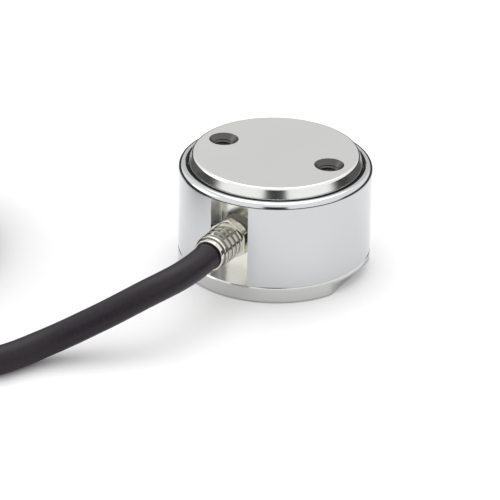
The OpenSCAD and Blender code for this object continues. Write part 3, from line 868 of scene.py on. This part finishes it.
NECK_HOLE_FROM, NECK_HOLE_TO = 5.0, 16.0


def bar_between(name, outline, low, high):
    """An upright bar with a flat outline between two heights, in millimetres."""
    build = bmesh.new()
    under = [build.verts.new((x * MM, y * MM, low * MM)) for x, y in outline]
    over = [build.verts.new((x * MM, y * MM, high * MM)) for x, y in outline]
    for k in range(len(outline)):
        j = (k + 1) % len(outline)
        build.faces.new((under[k], under[j], over[j], over[k]))
    build.faces.new(under[::-1])
    build.faces.new(over)
    bmesh.ops.recalc_face_normals(build, faces=build.faces[:])
    return piece_from(name, build)


def pocket_tool():
    """The milled pocket: an upright slot with rounded inner corners."""
    outline = [(POCKET_HALF, -TOOL_OUT)]
    outline += [
        (POCKET_HALF - POCKET_CORNER + POCKET_CORNER * math.cos(math.radians(a)),
         -POCKET_BACK - POCKET_CORNER + POCKET_CORNER * math.sin(math.radians(a)))
        for a in range(0, 91, 15)
    ]
    outline += [(-x, y) for x, y in reversed(outline)]
    return bar_between("pocket_tool", outline, POCKET_FOOT, POCKET_TOP)


def onto_gland(piece):
    """Turns a piece that is drawn up the Z axis onto the gland's axis."""
    lay = Matrix.Rotation(math.pi / 2, 4, "X")
    return moved(piece, Matrix.Translation((0, 0, GLAND_Z)) @ lay)


cut_away(housing, pocket_tool())
cut_away(housing, onto_gland(turned("gland_bore", [
    (0, NECK_HOLE_FROM), (NECK_HOLE_R, NECK_HOLE_FROM),
    (NECK_HOLE_R, NECK_HOLE_TO), (0, NECK_HOLE_TO),
], TOOL_TURNS)))
finish_edges(housing)
housing.data.materials.append(
    turned_metal("housing_steel", (0.585, 0.59, 0.60), (0.08, 0.15), bump=0.04)
)
# The next two steels are painted light: far lighter copies of the turned steel, for the pocket's
# shaded faces
housing.data.materials.append(
    turned_metal("milled_steel_painted_light", (0.93, 0.93, 0.86), (0.17, 0.26), bump=0.05, haze=0.6)
)
housing.data.materials.append(
    turned_metal("cheek_steel_painted_light", (0.95, 0.955, 0.965), (0.42, 0.52), bump=0.05, haze=0.8)
)
# The milled faces of the pocket are duller than the turned ones, and the cheek on the -X side,
# which faces the gland, is the dullest. Both are also painted much lighter than the turned steel,
# as painted light in the shaded pocket, and the milled faces carry a warm painted reflection tint
for face in housing.data.polygons:
    spot = face.center / MM
    in_slot = abs(spot.x) < POCKET_HALF + 0.01 and spot.y < -POCKET_BACK + POCKET_CORNER
    in_body = math.hypot(spot.x, spot.y) < BODY_R - 0.02 and spot.z < POCKET_TOP + 0.01
    wall_or_roof = abs(face.normal.z) < 0.5 or spot.z > POCKET_TOP - 0.01
    if in_slot and in_body and wall_or_roof:
        face.material_index = 2 if face.normal.x > 0.2 else 1
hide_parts("housing_ring")
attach(housing, "root")

repaint("gap_seal_ring", black_rubber)

# ---- Cable gland ----
# Nickel-plated: a neck that screws into the housing, a hexagon with turned-off corners,
# and a thin barrel that is crimped on the cable with four rounded grooves.
HEX_AF = 7.0
HEX_BACK = 16.9
HEX_FRONT = 18.4
BARREL_R = 3.25
BARREL_L = 6.0
LIP_R = 2.95
LIP_L = 1.0
GROOVES = 4
GROOVE_PITCH = 1.4
GROOVE_W = 0.7
GROOVE_DEPTH = 0.3
FRONT_R = 0.3
BORE_R = 2.55
HEX_BEVEL = 0.35
NECK_R, NECK_END = 2.5, 9.6
SHOULDER_R, SHOULDER_Y = 2.9, 15.3
CORE_BORE_R = 1.5
NECK_IN = 0.3
BARREL_IN = 0.4
BARREL_TURNS = 128
hex_corner_r = HEX_AF / math.sqrt(3)
hair = 0.001  # lets the two shapes of a cut overlap
hexagon = joined(
    bar_between("gland", [
        (hex_corner_r * math.cos(math.radians(30 + 60 * k)),
         hex_corner_r * math.sin(math.radians(30 + 60 * k)))
        for k in range(6)
    ], HEX_BACK, HEX_FRONT),
    turned("hex_chamfer", [
        (0, HEX_BACK - hair), (hex_corner_r - HEX_BEVEL, HEX_BACK - hair),
        (hex_corner_r + hair, HEX_BACK + HEX_BEVEL / 2),
        (hex_corner_r + hair, HEX_FRONT - HEX_BEVEL),
        (hex_corner_r - 2 * HEX_BEVEL, HEX_FRONT + hair), (0, HEX_FRONT + hair),
    ], turns=120),
    "INTERSECT",
)


def groove_points(middle):
    """The rounded bottom of one crimped groove in the barrel's outline."""
    out = BARREL_R + GROOVE_W / 2 - GROOVE_DEPTH
    half = math.degrees(math.acos((out - BARREL_R) / (GROOVE_W / 2)))
    return [
        (out - GROOVE_W / 2 * math.cos(math.radians(a)),
         middle + GROOVE_W / 2 * math.sin(math.radians(a)))
        for a in (half * (k / 6 - 1) for k in range(13))
    ]


first_groove = HEX_FRONT + (BARREL_L - (GROOVES - 1) * GROOVE_PITCH) / 2
barrel_end = HEX_FRONT + BARREL_L
barrel_back = HEX_FRONT - BARREL_IN
barrel_outline = [(BORE_R, barrel_back), (BARREL_R, barrel_back)]
for k in range(GROOVES):
    barrel_outline += groove_points(first_groove + k * GROOVE_PITCH)
barrel_outline += corner(BARREL_R - FRONT_R, barrel_end - FRONT_R, FRONT_R, 0, 5)
barrel_outline += [(LIP_R, barrel_end)]
gland_end = barrel_end + LIP_L
barrel_outline += corner(LIP_R - FRONT_R / 2, gland_end - FRONT_R / 2, FRONT_R / 2, 0, 4)
barrel_outline += [(BORE_R + 0.1, gland_end), (BORE_R, gland_end - 0.1)]
# The barrel and the neck reach into the hexagon, so that the joins leave no gap
gland = joined(hexagon, turned("seat", [
    (0, HEX_BACK - 0.5), (BORE_R, HEX_BACK - 0.5), (BORE_R, HEX_FRONT + 1), (0, HEX_FRONT + 1),
], BARREL_TURNS), "DIFFERENCE")
gland = joined(gland, turned("barrel", barrel_outline, BARREL_TURNS), "UNION")
gland = joined(gland, turned("neck", [
    (CORE_BORE_R, NECK_END), (NECK_R, NECK_END), (NECK_R, SHOULDER_Y),
    (SHOULDER_R, SHOULDER_Y), (SHOULDER_R, HEX_BACK + NECK_IN),
    (CORE_BORE_R, HEX_BACK + NECK_IN),
], TOOL_TURNS), "UNION")
onto_gland(gland)
finish_edges(gland, 32)
gland.data.materials.append(
    turned_metal("gland_nickel", (0.68, 0.665, 0.60), (0.07, 0.14), bump=0.02, haze=0.7)
)
gland.data.materials.append(
    turned_metal("groove_nickel_painted_shade", (0.20, 0.19, 0.17), (0.20, 0.30), bump=0.02, haze=0.7)
)
# The bottoms of the grooves are painted darker: painted shade in the creases of the crimp
groove_low_r, groove_high_r = BORE_R + 0.1, BARREL_R - 0.08
for face in gland.data.polygons:
    spot = face.center / MM
    from_axis = math.hypot(spot.x, spot.z - GLAND_Z)
    if -barrel_end < spot.y < -HEX_FRONT and groove_low_r < from_axis < groove_high_r:
        face.material_index = 1
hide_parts("gland_body")
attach(gland, "root")

grey_rubber = grained("grey_rubber", (0.20, 0.20, 0.19), (0.30, 0.30, 0.285), (0.5, 0.7))
repaint("gland_washer", grey_rubber)
repaint("core_grommet", grey_rubber)
repaint("chamber_plug", grained(
    "sealant", (0.62, 0.62, 0.58), (0.75, 0.75, 0.71), (0.3, 0.5),
))

# ---- Cores of the cable ----
# Four stranded wires in coloured insulation run through the gland to the board. At the
# cable's far end they come out of a shrunk sleeve with stripped tips, beside the braid.
core_paints = {
    shade: grained("core_" + shade, dark, light, (0.25, 0.35), size=1500)
    for shade, dark, light in (
        ("red", (0.42, 0.012, 0.010), (0.58, 0.025, 0.02)),
        ("black", (0.010, 0.010, 0.011), (0.025, 0.025, 0.027)),
        ("green", (0.008, 0.17, 0.045), (0.015, 0.25, 0.07)),
        ("white", (0.70, 0.70, 0.67), (0.82, 0.82, 0.80)),
    )
}
for shade, paint in core_paints.items():
    repaint("inner_core_" + shade, paint)

END_R = coil_slots[2]
END_Z = 12.5
SLEEVE_L = 8.0
SLEEVE_LAP = 2.5
SLEEVE_R, SLEEVE_SHRINK, SLEEVE_DROP = 2.62, 0.55, 0.45
SLEEVE_SIDES = 40
shrink_from, shrink_over = 0.55, 0.4  # shares of the sleeve's length
sleeve_from = coil_end - SLEEVE_LAP
sleeve_to = coil_end + math.degrees(SLEEVE_L / END_R)
sleeve_steps = 24
sleeve_line, sleeve_radii = [], []
for k in range(sleeve_steps + 1):
    t = k / sleeve_steps
    at = sleeve_from + (sleeve_to - sleeve_from) * t
    sleeve_line.append(coil_spot(at, END_R, END_Z - SLEEVE_DROP * eased(2 * t - 1)))
    sleeve_radii.append(SLEEVE_R - SLEEVE_SHRINK * eased((t - shrink_from) / shrink_over))
sleeve_radii[0], sleeve_radii[-1] = 2.45, 1.85  # softer edges at its two ends
end_sleeve = tube_along("end_sleeve_shrunk", sleeve_line, sleeve_radii, SLEEVE_SIDES)
end_sleeve.data.materials.append(grained(
    "sleeve_black", (0.012, 0.012, 0.013), (0.022, 0.022, 0.024), (0.25, 0.4),
    bump=0.05, size=800,
))
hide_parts("end_sleeve")
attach(end_sleeve, "root")

copper_tin = turned_metal("tinned_wire", (0.80, 0.78, 0.74), (0.2, 0.3), bump=0.02)
# Each lead's place outwards from the turn's middle, its height and its length
lead_plan = {
    "red": (-1.05, 10.32, 38.0), "black": (0.0, 10.5, 36.0), "green": (1.05, 10.32, 34.0),
    "white": (-0.52, 11.33, 32.0),
}
LEAD_STEP = 0.8
LEAD_R, WIRE_R = 0.5, 0.3
BARE_L = 4.0
# In the sleeve's mouth the leads lie higher and closer together, then they settle
MOUTH_LAP = 2  # degrees back into the sleeve
MOUTH_Z, LEADS_Z = 12.0, 10.9
PINCH_OUT, PINCH_UP = 0.62, 0.6
SETTLE_L, SETTLE_LATE = 11, 0.15
lead_pieces = []


def lead_line(outwards, height, length, step=LEAD_STEP):
    """A lead from inside the sleeve's mouth, down on the turn below, to its tip."""
    line = []
    count = round(length / step)
    for k in range(count + 1):
        s = length * k / count
        at = sleeve_to - MOUTH_LAP + math.degrees(s / END_R)
        settle = eased(s / SETTLE_L - SETTLE_LATE)
        start_out = outwards * PINCH_OUT
        start_up = MOUTH_Z + (height - LEADS_Z) * PINCH_UP
        radius = END_R + (start_out + (outwards - start_out) * settle)
        line.append(coil_spot(at, radius, start_up + (height - start_up) * settle))
    return line


for shade, (outwards, height, length) in lead_plan.items():
    line = lead_line(outwards, height, length)
    bare = round(BARE_L / LEAD_STEP)
    lead = tube_along("lead_" + shade + "_insulation", line[:-bare], LEAD_R, sides=16)
    lead.data.materials.append(core_paints[shade])
    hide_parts("lead_" + shade)
    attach(lead, "root")
    tip = tube_along("lead_" + shade + "_tip", line[-bare - 2:], WIRE_R, sides=12)
    tip.data.materials.append(copper_tin)
    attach(tip, "root")
    lead_pieces += [lead, tip]

shield_line = lead_line(outwards=0.53, height=11.33, length=28.0, step=LEAD_STEP / 2)
shield = tube_along("lead_shield_core", shield_line, WIRE_R, sides=10)
shield.data.materials.append(copper_tin)
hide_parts("lead_shield")
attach(shield, "root")
lead_pieces.append(shield)

# ---- Cable tie ----
# A nylon strap round the coil, pulled tight through a ratchet head on top. Its cut tail
# stands out of the head, with the teeth that the ratchet holds on its under side.
TIE_W = 3.6
TIE_T = 0.6
BUNDLE_H = 15.0
BUNDLE_IN, BUNDLE_OUT = coil_slots[2] - CABLE_R, coil_slots[0] + CABLE_R
STRAP_LOW, STRAP_HIGH = TIE_T, TIE_T + BUNDLE_H
STRAP_CORNER_R = 1.5
TIE_MID = (BUNDLE_IN + BUNDLE_OUT) / 2
tie_turn = Matrix.Translation((coil_mid.x, coil_mid.y, 0)) @ Matrix.Rotation(
    math.radians(tie_at), 4, "Z")


def strap_loop(out, steps=6):
    """The strap's section round the bundle, as radius and height, out from its inside."""
    loop = []
    corners = (
        (BUNDLE_OUT, STRAP_LOW, 270), (BUNDLE_OUT, STRAP_HIGH, 0),
        (BUNDLE_IN, STRAP_HIGH, 90), (BUNDLE_IN, STRAP_LOW, 180),
    )
    for radius, height, start in corners:
        x = radius + STRAP_CORNER_R * (-1 if radius == BUNDLE_OUT else 1)
        z = height + STRAP_CORNER_R * (1 if height == STRAP_LOW else -1)
        loop += corner(x, z, STRAP_CORNER_R + out, start, steps)
    return loop


def strap_solid():
    """The closed strap, with slightly rounded long edges. A row is a loop at a distance
    out from the strap's inside, and at a share of its half width."""
    build = bmesh.new()
    rows = ((0.06, -1.0), (0.0, -0.94), (0.0, 0.94), (0.06, 1.0),
            (TIE_T - 0.12, 1.0), (TIE_T, 0.9), (TIE_T, -0.9), (TIE_T - 0.12, -1.0))
    rings = [
        [build.verts.new((r * MM, across * TIE_W / 2 * MM, z * MM)) for r, z in strap_loop(out)]
        for out, across in rows
    ]
    for a in range(len(rings)):
        low, high = rings[a], rings[(a + 1) % len(rings)]
        for k in range(len(low)):
            n = (k + 1) % len(low)
            build.faces.new((low[k], low[n], high[n], high[k]))
    bmesh.ops.recalc_face_normals(build, faces=build.faces[:])
    return piece_from("strap", build)


def teeth_tree(paint):
    """Geometry Nodes for a row of small ratchet teeth along X, with named sizes."""
    tree = bpy.data.node_groups.new("ratchet_teeth", "GeometryNodeTree")
    tree.interface.new_socket("Geometry", in_out="OUTPUT", socket_type="NodeSocketGeometry")
    named_sockets(tree, {"Count": 10.0, "Pitch": 0.6, "Width": 2.4, "Height": 0.16})
    nodes, links = tree.nodes, tree.links
    ins, outs = nodes.new("NodeGroupInput"), nodes.new("NodeGroupOutput")
    row = nodes.new("GeometryNodeMeshLine")
    step = nodes.new("ShaderNodeCombineXYZ")
    links.new(ins.outputs["Pitch"], step.inputs["X"])
    links.new(ins.outputs["Count"], row.inputs["Count"])
    links.new(step.outputs[0], row.inputs["Offset"])
    tooth = nodes.new("GeometryNodeMeshCone")
    tooth.fill_type = "NGON"
    tooth.inputs["Vertices"].default_value = 4
    tooth.inputs["Radius Top"].default_value = 0.18
    tooth.inputs["Radius Bottom"].default_value = 0.40
    links.new(ins.outputs["Height"], tooth.inputs["Depth"])
    turn = nodes.new("GeometryNodeTransform")
    turn.inputs["Rotation"].default_value = (0, 0, math.pi / 4)
    stretch = nodes.new("ShaderNodeCombineXYZ")
    stretch.inputs["X"].default_value = 1
    stretch.inputs["Z"].default_value = 1
    links.new(tooth.outputs["Mesh"], turn.inputs["Geometry"])
    links.new(ins.outputs["Width"], stretch.inputs["Y"])
    widen = nodes.new("GeometryNodeTransform")
    links.new(turn.outputs[0], widen.inputs["Geometry"])
    links.new(stretch.outputs[0], widen.inputs["Scale"])
    copies = nodes.new("GeometryNodeInstanceOnPoints")
    links.new(row.outputs["Mesh"], copies.inputs["Points"])
    links.new(widen.outputs[0], copies.inputs["Instance"])
    real = nodes.new("GeometryNodeRealizeInstances")
    links.new(copies.outputs[0], real.inputs[0])
    nylon = nodes.new("GeometryNodeSetMaterial")
    nylon.inputs["Material"].default_value = paint
    links.new(real.outputs[0], nylon.inputs[0])
    links.new(nylon.outputs[0], outs.inputs[0])
    return tree


tie_paint = grained(
    "tie_nylon", (0.018, 0.018, 0.019), (0.04, 0.04, 0.042), (0.35, 0.5), bump=0.04
)
HEAD_X, HEAD_Y, HEAD_H = 4.6, 5.2, 2.6
HEAD_Z = STRAP_HIGH + TIE_T
HEAD_SINK, HEAD_EDGE = 0.05, 0.35
SLOT_LOW, SLOT_HIGH, SLOT_SIDE, SLOT_OVER = 0.9, 1.8, 0.15, 1
TAIL_Z = HEAD_Z + 1.05
TAIL_OUT, TAIL_SHORT = 1.6, 0.6
TOOTH_H, TEETH_OUT = 0.16, 1.2
head_in, head_out = TIE_MID - HEAD_X / 2, TIE_MID + HEAD_X / 2
cable_tie = strap_solid()
head = block("tie_head", (head_in, -HEAD_Y / 2, HEAD_Z - HEAD_SINK),
             (head_out, HEAD_Y / 2, HEAD_Z + HEAD_H))
soften = head.modifiers.new("soften", "BEVEL")
soften.width = HEAD_EDGE * MM
soften.segments = 3
plain_mesh(head)
cut_away(head, block(
    "tie_slot", (head_in - SLOT_OVER, -TIE_W / 2 - SLOT_SIDE, HEAD_Z + SLOT_LOW),
    (head_out + SLOT_OVER, TIE_W / 2 + SLOT_SIDE, HEAD_Z + SLOT_HIGH),
))
tail = block("tie_tail", (head_in - TAIL_OUT, -TIE_W / 2, TAIL_Z),
             (head_out - TAIL_SHORT, TIE_W / 2, TAIL_Z + TIE_T))
teeth = piece_from("tie_teeth", bmesh.new())
teeth_rule = teeth.modifiers.new("teeth", "NODES")
teeth_rule.node_group = teeth_tree(tie_paint)
teeth_sizes = {"Count": 8.0, "Pitch": 0.7, "Width": 3.2, "Height": TOOTH_H}
for item in teeth_rule.node_group.interface.items_tree:
    if item.in_out == "INPUT":
        teeth_rule[item.identifier] = teeth_sizes[item.name]
plain_mesh(teeth)
teeth.data.transform(Matrix.Scale(MM, 4))
moved(teeth, Matrix.Translation((head_in - TEETH_OUT, 0, TAIL_Z - TOOTH_H)))
tie_pieces = [cable_tie, head, tail, teeth]
finish_edges(cable_tie, 40)
for piece in tie_pieces:
    moved(piece, tie_turn)
for piece in tie_pieces[1:]:
    finish_edges(piece, 40)
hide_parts("coil_tie")
for piece in tie_pieces:
    piece.data.materials.clear()
    piece.data.materials.append(tie_paint)
    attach(piece, "root")
